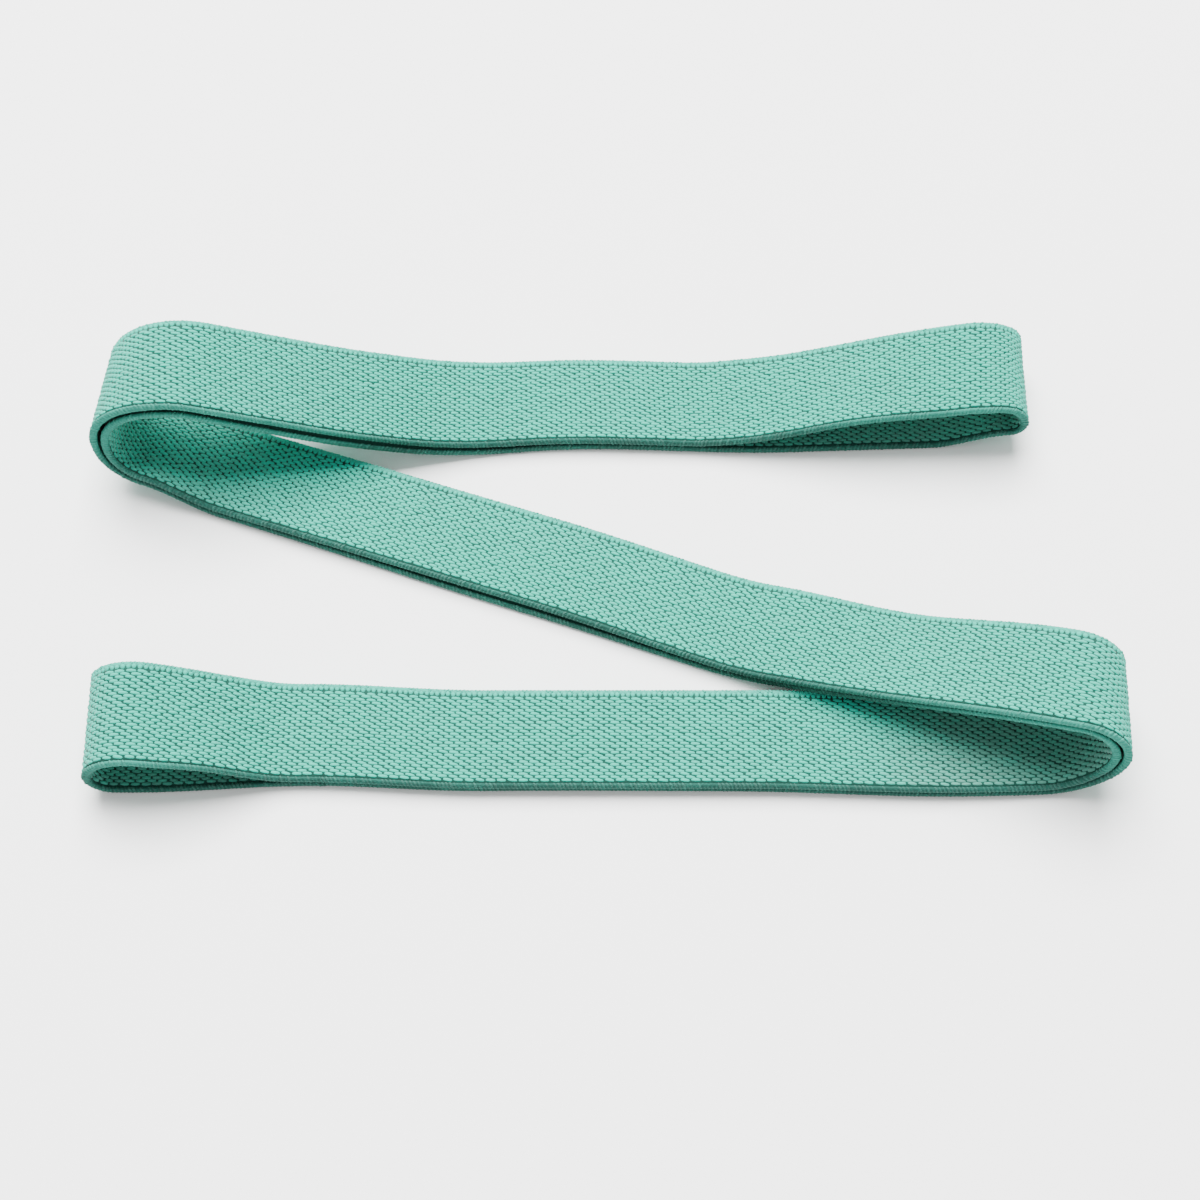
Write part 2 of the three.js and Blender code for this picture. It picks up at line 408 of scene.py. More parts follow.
@dataclass(frozen=True)
class Fold:
    """A bend of the strip about a level line that may be slanted to the strip.

    inner is the side of the strip that faces into the fold, and shade says how dark the painted shade
    is in there.
    """

    profile: BendProfile
    origin: np.ndarray
    begins: float
    forward: np.ndarray
    sideways: np.ndarray
    slant: float
    side: int
    inner: int
    slack: Slack
    shade: float = 1.0

    def place(self, along: np.ndarray, across: np.ndarray, out: np.ndarray) -> np.ndarray:
        """Flat coordinates to places in the row frame.

        Args:
            along: Distance along the strip.
            across: Distance across it.
            out: Distance out of its first side.

        Returns:
            One point in each row.
        """
        sine, cosine = math.sin(math.radians(self.slant)), math.cos(math.radians(self.slant))
        beyond = along - self.begins
        bent = beyond * cosine - across * sine
        slid = beyond * sine + across * cosine
        forward, height, turn = self.profile.at(bent)
        peak, length = self.profile.peak, self.profile.length
        closed = smooth((bent - peak * DRAPE.closes) / (length * DRAPE.closing))
        opened = smooth(bent / peak * DRAPE.opens) * (1 - closed)
        faded = smooth((bent - DRAPE.heel_fades * peak) / ((1 - DRAPE.heel_fades) * peak))
        under = smooth(bent / DRAPE.heel_ramp + 1) * (1 - faded)
        sagging = DRAPE.sag_before * peak + DRAPE.sag_after * length
        slope = 1 - smooth(np.abs(bent - sagging) / (DRAPE.sag_half * (length - peak)))
        slack = self.slack
        out = out + np.where(out * self.inner > 0, self.inner * slack.spread * opened, 0)
        forward = forward + slack.reach.at(across) * opened
        height = height + slack.lift.at(across) * opened + slack.heel.at(across) * under
        height = height - slack.sag.at(across) * slope
        points = self.origin + np.outer(forward, self.forward) + np.outer(slid, self.sideways)
        normal = np.outer(-np.sin(turn), self.forward)
        normal[:, 2] += np.cos(turn)
        points[:, 2] += height
        return points + normal * (self.side * out)[:, None]

    def peak_cut(self) -> "Cut":
        """The line across the strip at the top of the bend."""
        slant = math.radians(self.slant)
        return Cut(self.begins + self.profile.peak / math.cos(slant), math.tan(slant))

    def end(self) -> float:
        """Distance along the strip's middle at which the bend ends."""
        return self.begins + self.profile.length / math.cos(math.radians(self.slant))


@dataclass(frozen=True)
class Cut:
    """A line across the webbing, at a distance along it and with a lean."""

    at: float
    lean: float = 0.0

    def along(self, across: np.ndarray) -> np.ndarray:
        """Distance along the webbing at each distance across it."""
        return self.at + self.lean * across


class Path:
    """Somewhere for a layer of webbing to lie."""

    def place(self, along: np.ndarray, across: np.ndarray, out: np.ndarray) -> np.ndarray:
        """Distances along, across and out of the layer's outside face, to places in the row frame."""
        raise NotImplementedError

    def hidden(self, along: np.ndarray) -> np.ndarray:
        """How far the outside face is hidden inside a fold at each distance: 0 out in the open."""
        return np.zeros_like(along)

    def hand(self) -> float:
        """1 where along, across and out are right-handed, and -1 where they are left-handed."""
        step = 1 * MM
        along = np.array([0, step, 0, 0])
        across = np.array([0, 0, step, 0])
        out = np.array([0, 0, 0, step])
        points = self.place(along, across, out)
        return math.copysign(1, float(np.linalg.det(points[1:] - points[0])))


class LoopPath(Path):
    """The single layer of webbing round a loop end."""

    def __init__(
        self, bend: Bend, slack: Slack, start: np.ndarray, forward: np.ndarray, across: np.ndarray,
        meets: float, way: int,
    ) -> None:
        """Lays the loop out from where its lower layer turns up.

        Args:
            bend: The loop's radii and slope.
            slack: How it departs from them.
            start: Where its lower layer turns up.
            forward: The way it points.
            across: The way across it.
            meets: The strip's distance at that start.
            way: 1 where the strip's distance falls as the loop goes forward, and -1 where it grows.
        """
        self.meets = meets
        self.way = way
        profile = BendProfile(bend, WEBBING.thickness + WEBBING.layer_gap)
        origin = np.array([start[0], start[1], WEBBING.thickness / 2])
        self.fold = Fold(profile, origin, 0.0, forward, across, 0.0, side=-1, inner=0, slack=slack)
        landing = float(profile.at(np.array([profile.length]))[0][0])
        self.first = landing - LOOP_TO_CUT
        self.last = profile.length + LOOP_TO_CUT

    def place(self, along: np.ndarray, across: np.ndarray, out: np.ndarray) -> np.ndarray:
        """See Path."""
        forward = self.fold.profile.at(along)[0]
        return self.fold.place(along, across + bowed(self.meets - self.way * forward), out)


class Strip:
    """The two-layer strip, from the lower loop end to the upper one."""

    def __init__(self) -> None:
        """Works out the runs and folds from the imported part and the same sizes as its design."""
        low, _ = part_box("lower_loop_near_edge")
        tip = BendProfile(LOWER_BEND, WEBBING.thickness + WEBBING.layer_gap)
        reach = float(max(tip.at(np.linspace(0, tip.peak, 400))[0])) + WEBBING.thickness / 2
        start = np.array([low.x + reach, low.y + WEBBING.width / 2, WEBBING.mid_height])
        slant = MIDDLE_TURN / 2
        # Each fold's shade sets how dark the painted shade inside it is.
        self.right = Fold(
            BendProfile(RIGHT_BEND, 0), start + LOWER_RUN * heading(0), LOWER_RUN,
            heading(-slant), heading(90 - slant), slant, side=1, inner=1, slack=RIGHT_SLACK, shade=1.5,
        )
        middle = 180 - MIDDLE_TURN
        leave = self.right.end()
        turned = self.right.place(np.array([leave]), np.zeros(1), np.zeros(1))[0]
        slant = (180 + UPPER_HEADING - middle) / 2
        self.left = Fold(
            BendProfile(LEFT_BEND, 0), turned + MIDDLE_RUN * heading(middle), leave + MIDDLE_RUN,
            heading(middle + slant), heading(middle + slant - 90), slant,
            side=-1, inner=-1, slack=LEFT_SLACK, shade=0.6,
        )
        self.split = leave + MIDDLE_RUN / 2
        self.end = self.left.end() + UPPER_RUN
        finish = self.place(np.array([self.end]), np.zeros(1), np.zeros(1))[0]
        self.lower_loop = LoopPath(LOWER_BEND, LOWER_SLACK, start, heading(180), heading(90), 0.0, 1)
        ahead, sideways = heading(UPPER_HEADING), heading(90 + UPPER_HEADING)
        self.upper_loop = LoopPath(UPPER_BEND, UPPER_SLACK, finish, ahead, sideways, self.end, -1)

    def place(self, along: np.ndarray, across: np.ndarray, out: np.ndarray) -> np.ndarray:
        """Flat coordinates of the strip to places in the row frame."""
        early = along < self.split
        across = across + bowed(along)
        points = np.empty((len(along), 3))
        for here, fold in ((early, self.right), (~early, self.left)):
            points[here] = fold.place(along[here], across[here], out[here])
        return points


class StrandPath(Path):
    """One of the strip's two layers."""

    def __init__(self, strip: Strip, strand: Strand) -> None:
        """Takes the layer on the strand's own side of the strip."""
        self.strip = strip
        self.sign = strand.value

    def place(self, along: np.ndarray, across: np.ndarray, out: np.ndarray) -> np.ndarray:
        """See Path."""
        for slip in SLIPS[self.sign]:
            across = across + slip.at_distance(along)
        return self.strip.place(along, across, self.sign * (WEBBING.layer_offset + out))

    def hidden(self, along: np.ndarray) -> np.ndarray:
        """How far the outside face is hidden inside a fold.

        Args:
            along: Distances along the strip.

        Returns:
            0 out in the open, and up to the fold's painted shade inside it.
        """
        total = np.zeros_like(along)
        for fold in (self.strip.right, self.strip.left):
            if fold.inner == self.sign:
                bent = along - fold.begins
                length = fold.profile.length
                faded = smooth((bent - DRAPE.shade_fades * length) / (DRAPE.shade_fading * length))
                total += fold.shade * smooth(bent / DRAPE.shade_ramp + DRAPE.shade_early) * (1 - faded)
        return total


# ------------------------------------------------------------------ finishes


@dataclass(frozen=True)
class YarnFinish:
    """The look of yarn. Colours are linear red, green and blue.

    light and deep are the two colours that the tone and the fibres mix, the third colour is a painted
    sheen mixed in at a glancing angle, strands is the fineness of the fibres, and relief their depth.
    """

    name: str
    light: tuple[float, float, float]
    deep: tuple[float, float, float]
    roughness: float = 0.8
    sheen: float = 0.25
    haze: tuple[float, float, float] = (0.20, 0.27, 0.25)
    strands: float = 5200.0
    relief: float = 0.9


@dataclass(frozen=True)
class Shading:
    """Tones added to the yarn's own, from 0 for its deep colour to 1 for its light one.

    Most of them are painted light and shade: inside is painted shade on the loops' inner faces, folded
    painted shade in the folds, far_edge painted light on the far roll and near_edge painted shade on the
    near roll. The rolls keep only edge_spread of their own tones. The near one lightens by near_lift as
    it rises past lift_from, as painted light.
    """

    even: float = 0.15
    inside: float = -0.53
    outside: float = 0.2
    folded: float = 0.6
    edge_spread: float = 0.4
    far_edge: float = 0.25
    near_edge: float = -0.66
    near_lift: float = 0.4
    lift_from: float = 8 * MM
    lift_over: float = 18 * MM


SHADING = Shading()
# A dimmer painted sheen, for the rolls and their ribs.
DIM_PAINTED_SHEEN = (0.06, 0.16, 0.13)
FLOAT_YARN = YarnFinish("mint_yarn", (0.010, 0.375, 0.272), (0.068, 0.215, 0.17), 0.85, 0.02)
# Painted shade: the ground cloth is very dark so that the gaps between the floats read as shade.
GAP_SHADE_GROUND = YarnFinish("ground_yarn", (0.012, 0.06, 0.045), (0.006, 0.03, 0.022), 0.95, 0.0)
# The rolls reach their deep colours where painted shade falls on the near roll.
GROOVE_YARN = YarnFinish("groove_yarn", (0.028, 0.33, 0.245), (0.014, 0.058, 0.045), 0.95, 0.0, DIM_PAINTED_SHEEN)
EDGE_YARN = YarnFinish("edge_yarn", (0.03, 0.36, 0.265), (0.026, 0.085, 0.068), 0.85, 0.02, DIM_PAINTED_SHEEN)
LAP_YARN = YarnFinish("lap_yarn", (0.03, 0.38, 0.27), (0.012, 0.23, 0.16), 0.85, 0.06)
STITCH_THREAD = YarnFinish("stitch_thread", (0.008, 0.14, 0.10), (0.004, 0.07, 0.05), 0.6, 0.05)


def new_socket(tree: bpy.types.NodeTree, name: str, kind: str, way: str = "INPUT") -> None:
    """Adds a named socket to a node group."""
    tree.interface.new_socket(name=name, in_out=way, socket_type=kind)


# How far the fibres are drawn out along the yarn, and how much the fibres and the wear change its colour.
FIBRE_SQUASH = 0.22
FIBRE_SHARE = 0.9
WEAR_SCALE = 40.0
WEAR_SHARE = 0.35


def yarn_group() -> bpy.types.NodeTree:
    """The node group that gives yarn its colour and its fine strands.

    Returns:
        A shader node group with outputs Color and Height.
    """
    tree = bpy.data.node_groups.new("Yarn strands", "ShaderNodeTree")
    for name, kind in (
        ("Flat", "NodeSocketVector"), ("Tone", "NodeSocketFloat"), ("Light", "NodeSocketColor"),
        ("Deep", "NodeSocketColor"), ("Strands", "NodeSocketFloat"),
    ):
        new_socket(tree, name, kind)
    new_socket(tree, "Color", "NodeSocketColor", "OUTPUT")
    new_socket(tree, "Height", "NodeSocketFloat", "OUTPUT")
    nodes, links = tree.nodes, tree.links
    given, made = nodes.new("NodeGroupInput"), nodes.new("NodeGroupOutput")

    lie = nodes.new("ShaderNodeMapping")
    lie.inputs["Scale"].default_value = (FIBRE_SQUASH, 1.0, 1.0)
    links.new(given.outputs["Flat"], lie.inputs["Vector"])
    fibres = nodes.new("ShaderNodeTexNoise")
    fibres.inputs["Detail"].default_value = 2.0
    links.new(lie.outputs["Vector"], fibres.inputs["Vector"])
    links.new(given.outputs["Strands"], fibres.inputs["Scale"])

    worn = nodes.new("ShaderNodeTexNoise")
    worn.inputs["Scale"].default_value = WEAR_SCALE
    worn.inputs["Detail"].default_value = 3.0
    links.new(given.outputs["Flat"], worn.inputs["Vector"])

    share = nodes.new("ShaderNodeMath")
    share.operation = "MULTIPLY_ADD"
    share.inputs[1].default_value = FIBRE_SHARE
    links.new(fibres.outputs["Fac"], share.inputs[0])
    links.new(given.outputs["Tone"], share.inputs[2])
    drift = nodes.new("ShaderNodeMath")
    drift.operation = "MULTIPLY_ADD"
    drift.inputs[1].default_value = WEAR_SHARE
    drift.use_clamp = True
    links.new(worn.outputs["Fac"], drift.inputs[0])
    links.new(share.outputs[0], drift.inputs[2])

    colour = nodes.new("ShaderNodeMix")
    colour.data_type = "RGBA"
    links.new(drift.outputs[0], colour.inputs["Factor"])
    links.new(given.outputs["Deep"], colour.inputs[6])
    links.new(given.outputs["Light"], colour.inputs[7])
    links.new(colour.outputs[2], made.inputs["Color"])
    links.new(fibres.outputs["Fac"], made.inputs["Height"])
    return tree


class Materials:
    """Makes each finish's material once."""

    def __init__(self) -> None:
        """Makes the shared node group."""
        self.group = yarn_group()
        self.made: dict[str, bpy.types.Material] = {}

    def get(self, finish: YarnFinish) -> bpy.types.Material:
        """The material of a finish."""
        if finish.name not in self.made:
            self.made[finish.name] = self._yarn(finish)
        return self.made[finish.name]

    def _yarn(self, finish: YarnFinish) -> bpy.types.Material:
        """Makes a yarn material.

        Args:
            finish: Its colours and its feel.

        Returns:
            The material, which reads the piece's flat UV map and its tone.
        """
        material = bpy.data.materials.new(finish.name)
        material.use_nodes = True
        material.diffuse_color = (*finish.light, 1)
        nodes, links = material.node_tree.nodes, material.node_tree.links
        surface = nodes["Principled BSDF"]
        surface.inputs["Roughness"].default_value = finish.roughness
        surface.inputs["Specular IOR Level"].default_value = 0.08
        surface.inputs["Sheen Weight"].default_value = finish.sheen
        surface.inputs["Sheen Roughness"].default_value = 0.5
        surface.inputs["Sheen Tint"].default_value = (0.82, 0.95, 0.92, 1)
        flat, tone = nodes.new("ShaderNodeUVMap"), nodes.new("ShaderNodeAttribute")
        flat.uv_map = "flat"
        tone.attribute_name = "tone"
        yarn = nodes.new("ShaderNodeGroup")
        yarn.node_tree = self.group
        yarn.inputs["Light"].default_value = (*finish.light, 1)
        yarn.inputs["Deep"].default_value = (*finish.deep, 1)
        yarn.inputs["Strands"].default_value = finish.strands
        links.new(flat.outputs["UV"], yarn.inputs["Flat"])
        links.new(tone.outputs["Fac"], yarn.inputs["Tone"])
        # Painted sheen: the base colour turns towards a pale colour at glancing angles.
        glance, fade = nodes.new("ShaderNodeLayerWeight"), nodes.new("ShaderNodeMath")
        glance.inputs["Blend"].default_value = 0.32
        fade.operation = "POWER"
        fade.inputs[1].default_value = 3.0
        links.new(glance.outputs["Facing"], fade.inputs[0])
        sheen_paint = nodes.new("ShaderNodeMix")
        sheen_paint.data_type = "RGBA"
        sheen_paint.inputs[7].default_value = (*finish.haze, 1)
        links.new(fade.outputs[0], sheen_paint.inputs["Factor"])
        links.new(yarn.outputs["Color"], sheen_paint.inputs[6])
        links.new(sheen_paint.outputs[2], surface.inputs["Base Color"])
        bump = nodes.new("ShaderNodeBump")
        bump.inputs["Strength"].default_value = finish.relief
        bump.inputs["Distance"].default_value = 0.15 * MM
        links.new(yarn.outputs["Height"], bump.inputs["Height"])
        links.new(bump.outputs["Normal"], surface.inputs["Normal"])
        return material


# ------------------------------------------------------------------ repeated things


@dataclass(frozen=True)
class Grain:
    """Half sizes of a yarn that comes up out of the cloth, and how far it drifts sideways on its way."""

    half: float
    wide: float
    tall: float
    sway: float = 0.0


FLOAT = Grain(1.6 * MM, 0.65 * MM, 0.38 * MM, 0.02 * MM)
SHORT_FLOAT = Grain(0.95 * MM, 0.8 * MM, 0.38 * MM)
STITCH = Grain(1.5 * MM, 0.3 * MM, 0.32 * MM)

# How much the copies of one thing differ, in size along each axis and in tone.
SIZE_SPREAD = ((0.96, 1.04), (0.94, 1.06), (0.82, 1.12))
TONE_SPREAD = 0.3


@dataclass(frozen=True)
class Rows:
    """Rows of one small thing over a flat length of webbing.

    The columns are pitch apart and one of them lies at phase. The first row lies at across, raised by
    out, and every other row is shifted by stagger of a pitch. Each copy is turned by tilt, give or take
    waver, and lies up to stray off its place along each axis.
    """

    start: Cut
    end: Cut
    pitch: float
    phase: float = 0.0
    rows: int = 1
    row_pitch: float = 0.0
    across: float = 0.0
    out: float = 0.0
    stagger: float = 0.0
    tilt: float = 0.0
    waver: float = 0.0
    stray: float = 0.0
    seed: int = 1


def rows_tree() -> bpy.types.NodeTree:
    """The node tree that lays a small thing out in rows, as a loom repeats its floats.

    Returns:
        A geometry node tree with named inputs.
    """
    tree = bpy.data.node_groups.new("Rows on webbing", "GeometryNodeTree")
    new_socket(tree, "Geometry", "NodeSocketGeometry")
    new_socket(tree, "Thing", "NodeSocketObject")
    new_socket(tree, "Material", "NodeSocketMaterial")
    for name in ("Columns", "Rows", "Seed"):
        new_socket(tree, name, "NodeSocketInt")
    for name in (
        "First", "Pitch", "Row pitch", "Across", "Out", "Stagger", "Tilt", "Waver", "Stray",
        "Start", "Start lean", "End", "End lean",
    ):
        new_socket(tree, name, "NodeSocketFloat")
    new_socket(tree, "Geometry", "NodeSocketGeometry", "OUTPUT")
    nodes, links = tree.nodes, tree.links
    given, made = nodes.new("NodeGroupInput"), nodes.new("NodeGroupOutput")

    def maths(operation: str, first: Feed, second: Feed, third: Feed = None) -> bpy.types.NodeSocket:
        """The output of a maths node on links or numbers.

        Args:
            operation: What it does.
            first: Its first value.
            second: Its second value.
            third: Its third value, if it has one.

        Returns:
            The output socket.
        """
        node = nodes.new("ShaderNodeMath")
        node.operation = operation
        for socket, value in zip(node.inputs, (first, second, third)):
            if isinstance(value, (int, float)):
                socket.default_value = value
            elif value is not None:
                links.new(value, socket)
        return node.outputs[0]

    index = nodes.new("GeometryNodeInputIndex").outputs[0]
    columns = given.outputs["Columns"]
    row = maths("FLOOR", maths("DIVIDE", maths("ADD", index, 0.5), columns), None)
    column = maths("SUBTRACT", index, maths("MULTIPLY", row, columns))
    odd = maths("MODULO", row, 2.0)
    shifted = maths("MULTIPLY_ADD", odd, given.outputs["Stagger"], column)
    along = maths("MULTIPLY_ADD", shifted, given.outputs["Pitch"], given.outputs["First"])
    across = maths("MULTIPLY_ADD", row, given.outputs["Row pitch"], given.outputs["Across"])
    place = nodes.new("ShaderNodeCombineXYZ")
    links.new(along, place.inputs["X"])
    links.new(across, place.inputs["Y"])
    links.new(given.outputs["Out"], place.inputs["Z"])

    points = nodes.new("GeometryNodePoints")
    links.new(maths("MULTIPLY", columns, given.outputs["Rows"]), points.inputs["Count"])
    links.new(place.outputs[0], points.inputs["Position"])

    before = maths("MULTIPLY_ADD", across, given.outputs["Start lean"], given.outputs["Start"])
    after = maths("MULTIPLY_ADD", across, given.outputs["End lean"], given.outputs["End"])
    outside = maths("ADD", maths("LESS_THAN", along, before), maths("GREATER_THAN", along, after))
    trim = nodes.new("GeometryNodeDeleteGeometry")
    trim.domain = "POINT"
    links.new(points.outputs[0], trim.inputs["Geometry"])
    links.new(outside, trim.inputs["Selection"])

    def chance(low: float, high: float, shift: int) -> bpy.types.NodeSocket:
        """A random number for each copy, of its own for each shift of the seed."""
        node = nodes.new("FunctionNodeRandomValue")
        node.data_type = "FLOAT"
        node.inputs[2].default_value = low
        node.inputs[3].default_value = high
        links.new(maths("ADD", given.outputs["Seed"], float(shift)), node.inputs["Seed"])
        return node.outputs[1]

    drift = nodes.new("ShaderNodeCombineXYZ")
    for axis, shift in zip("XYZ", (21, 22, 23)):
        strayed = maths("MULTIPLY", chance(-1, 1, shift), given.outputs["Stray"])
        links.new(strayed, drift.inputs[axis])
    nudge = nodes.new("GeometryNodeSetPosition")
    links.new(trim.outputs[0], nudge.inputs["Geometry"])
    links.new(drift.outputs[0], nudge.inputs["Offset"])

    spin = nodes.new("ShaderNodeCombineXYZ")
    tilted = maths("MULTIPLY_ADD", chance(-1, 1, 1), given.outputs["Waver"], given.outputs["Tilt"])
    links.new(tilted, spin.inputs["Z"])
    size = nodes.new("ShaderNodeCombineXYZ")
    for axis, (low, high) in zip("XYZ", SIZE_SPREAD):
        links.new(chance(low, high, 10 + ord(axis)), size.inputs[axis])
    thing = nodes.new("GeometryNodeObjectInfo")
    thing.inputs["As Instance"].default_value = True
    links.new(given.outputs["Thing"], thing.inputs["Object"])
    copies = nodes.new("GeometryNodeInstanceOnPoints")
    links.new(nudge.outputs[0], copies.inputs["Points"])
    links.new(thing.outputs["Geometry"], copies.inputs["Instance"])
    links.new(spin.outputs[0], copies.inputs["Rotation"])
    links.new(size.outputs[0], copies.inputs["Scale"])

    tone = nodes.new("GeometryNodeStoreNamedAttribute")
    tone.data_type = "FLOAT"
    tone.domain = "INSTANCE"
    tone.inputs["Name"].default_value = "tone"
    links.new(copies.outputs[0], tone.inputs["Geometry"])
    links.new(chance(0.0, TONE_SPREAD, 3), tone.inputs["Value"])
    realise = nodes.new("GeometryNodeRealizeInstances")
    links.new(tone.outputs[0], realise.inputs["Geometry"])
    paint = nodes.new("GeometryNodeSetMaterial")
    links.new(realise.outputs[0], paint.inputs["Geometry"])
    links.new(given.outputs["Material"], paint.inputs["Material"])
    links.new(paint.outputs[0], made.inputs["Geometry"])
    return tree


def prism(sections: np.ndarray) -> tuple[np.ndarray, list[tuple[int, ...]]]:
    """A closed solid through rings of points.

    Args:
        sections: Rings of points, as an array of ring, point and coordinate.

    Returns:
        Points, and faces that look outward where the rings turn the right-handed way.
    """
    rings, count = sections.shape[:2]
    faces = []
    for i in range(rings - 1):
        for j in range(count):
            k = (j + 1) % count
            faces.append((i * count + j, i * count + k, (i + 1) * count + k, (i + 1) * count + j))
    faces.append(tuple(reversed(range(count))))
    faces.append(tuple(range((rings - 1) * count, rings * count)))
    return sections.reshape(-1, 3), faces


class Loom:
    """Makes flat things, repeats them in rows and carries them onto a path."""

    def __init__(self, materials: Materials) -> None:
        """Makes the node tree and the small things that it repeats.

        Args:
            materials: Where materials come from.
        """
        self.materials = materials
        self.tree = rows_tree()
        self.spare: list[bpy.types.Object] = []
        self.float = self._small("float", *self._grain(FLOAT))
        self.short = self._small("short_float", *self._grain(SHORT_FLOAT))
        self.rib = self._small("rib", *self._rib())
        self.stitch = self._small("stitch", *self._grain(STITCH))

    def _small(self, name: str, points: np.ndarray, faces: list[tuple[int, ...]]) -> bpy.types.Object:
        """A small thing, kept out of the finished scene.

        Args:
            name: Its name.
            points: Its points.
            faces: Its faces.

        Returns:
            An object that Geometry Nodes can copy.
        """
        mesh = bpy.data.meshes.new(name)
        mesh.from_pydata(points.tolist(), [], faces)
        mesh.shade_smooth()
        thing = bpy.data.objects.new(name, mesh)
        bpy.context.scene.collection.objects.link(thing)
        self.spare.append(thing)
        return thing

    @staticmethod
    def _grain(grain: Grain) -> tuple[np.ndarray, list]:
        """A yarn that comes up out of the cloth, passes over it and goes down again.

        Args:
            grain: Its sizes.

        Returns:
            Points and faces.
        """
        ring = ((0, -0.9), (0.95, -0.35), (0.72, 0.62), (0, 1), (-0.72, 0.62), (-0.95, -0.35))
        tip, shoulder, crown = (0.15, -0.8), (0.74, 0), (1, 0.12)
        stations = ((-1, tip), (-0.7, shoulder), (0, crown), (0.7, shoulder), (1, tip))
        rings = []
        for at, (girth, rise) in stations:
            points = []
            for side, up in ring:
                across = side * grain.wide * girth - grain.sway * at * 2
                points.append((at * grain.half, across, (up * girth + rise) * grain.tall))
            rings.append(points)
        return prism(np.array(rings))

    @staticmethod
    def _rib() -> tuple[np.ndarray, list]:
        """A rib that wraps the edge roll on the slant, laid out about the middle of the roll.

        Returns:
            Points and faces.
        """
        wide, tall = WEBBING.roll, WEBBING.thickness / 2
        wrap = 125
        slip_per_turn = 0.35 * MM
        section = ((-0.5, -0.14), (0, 0.06), (0.5, -0.14), (0, -0.3))
        rings = []
        for turn in np.radians(np.linspace(-wrap, wrap, 9)):
            slip = slip_per_turn * turn
            ring = []
            for along, out in section:
                reach = (wide + out * MM) * math.cos(turn)
                ring.append((slip + along * MM, reach, (tall + out * MM) * math.sin(turn)))
            rings.append(ring)
        return prism(np.array(rings)[:, ::-1])

    def repeat(self, name: str, thing: bpy.types.Object, rows: Rows, finish: YarnFinish) -> bpy.types.Mesh:
        """Lays a small thing out in rows.

        Args:
            name: Name for the mesh.
            thing: What is repeated.
            rows: How it is laid out.
            finish: Its finish.

        Returns:
            A flat mesh in distances along, across and out.
        """
        lowest = rows.start.at - abs(rows.start.lean) * WEBBING.width / 2
        highest = rows.end.at + abs(rows.end.lean) * WEBBING.width / 2
        skip = math.floor((lowest - rows.phase) / rows.pitch) - 1
        first = rows.phase + skip * rows.pitch
        columns = max(1, math.ceil((highest - first) / rows.pitch) + 1)
        values = {
            "Thing": thing, "Material": self.materials.get(finish), "Columns": columns,
            "Rows": rows.rows, "Seed": rows.seed, "First": first, "Pitch": rows.pitch,
            "Row pitch": rows.row_pitch, "Across": rows.across, "Out": rows.out,
            "Stagger": rows.stagger, "Tilt": rows.tilt, "Waver": rows.waver, "Stray": rows.stray,
            "Start": rows.start.at, "Start lean": rows.start.lean,
            "End": rows.end.at, "End lean": rows.end.lean,
        }
        holder = bpy.data.objects.new(name, bpy.data.meshes.new(name))
        bpy.context.scene.collection.objects.link(holder)
        modifier = holder.modifiers.new("Rows", "NODES")
        modifier.node_group = self.tree
        for socket in self.tree.interface.items_tree:
            if socket.in_out == "INPUT" and socket.name in values:
                modifier[socket.identifier] = values[socket.name]
        graph = bpy.context.evaluated_depsgraph_get()
        mesh = bpy.data.meshes.new_from_object(holder.evaluated_get(graph))
        bpy.data.objects.remove(holder)
        return mesh

    def clear(self) -> None:
        """Removes the small things."""
        for thing in self.spare:
            bpy.data.objects.remove(thing)


def points_of(mesh: bpy.types.Mesh) -> np.ndarray:
    """The mesh's points, one in each row."""
    points = np.empty(len(mesh.vertices) * 3, np.float32)
    mesh.vertices.foreach_get("co", points)
    return points.reshape(-1, 3)


def tones_of(mesh: bpy.types.Mesh) -> np.ndarray:
    """The yarn's tone at each point: an even one where the mesh holds none."""
    tones = np.full(len(mesh.vertices), SHADING.even, np.float32)
    if "tone" in mesh.attributes:
        mesh.attributes["tone"].data.foreach_get("value", tones)
    return tones


def finished(name: str, mesh: bpy.types.Mesh) -> bpy.types.Object:
    """A finished piece at the origin, with its place in its mesh.

    Args:
        name: The piece's name.
        mesh: Its mesh.

    Returns:
        The piece, linked into the scene.
    """
    piece = bpy.data.objects.new(name, mesh)
    mesh.name = piece.name
    bpy.context.scene.collection.objects.link(piece)
    LOG.info("%s: %d faces", name, len(mesh.polygons))
    return piece


def join_flat(name: str, meshes: list[bpy.types.Mesh]) -> bpy.types.Mesh:
    """Several flat meshes as one, with their materials and tones.

    Args:
        name: Name for the mesh.
        meshes: Meshes that each have one material.

    Returns:
        The joined mesh.
    """
    joined = bpy.data.meshes.new(name)
    points, faces, tones, slots, materials = [], [], [], [], []
    offset = 0
    for mesh in meshes:
        points.append(points_of(mesh))
        tones.append(tones_of(mesh))
        material = next(m for m in mesh.materials if m)
        if material not in materials:
            materials.append(material)
        loops = np.empty(len(mesh.loops), np.int32)
        mesh.loops.foreach_get("vertex_index", loops)
        starts = np.empty(len(mesh.polygons), np.int32)
        mesh.polygons.foreach_get("loop_start", starts)
        faces.append((loops + offset, starts))
        slots += [materials.index(material)] * len(mesh.polygons)
        offset += len(mesh.vertices)
    total = sum(len(f[0]) for f in faces)
    joined.vertices.add(offset)
    joined.vertices.foreach_set("co", np.concatenate(points).ravel())
    joined.loops.add(total)
    joined.loops.foreach_set("vertex_index", np.concatenate([f[0] for f in faces]))
    begins, base = [], 0
    for loops, starts in faces:
        begins.append(starts + base)
        base += len(loops)
    joined.polygons.add(len(slots))
    joined.polygons.foreach_set("loop_start", np.concatenate(begins))
    for material in materials:
        joined.materials.append(material)
    joined.polygons.foreach_set("material_index", np.array(slots, np.int32))
    joined.attributes.new("tone", "FLOAT", "POINT").data.foreach_set("value", np.concatenate(tones))
    joined.update(calc_edges=True)
    joined.validate()
    return joined


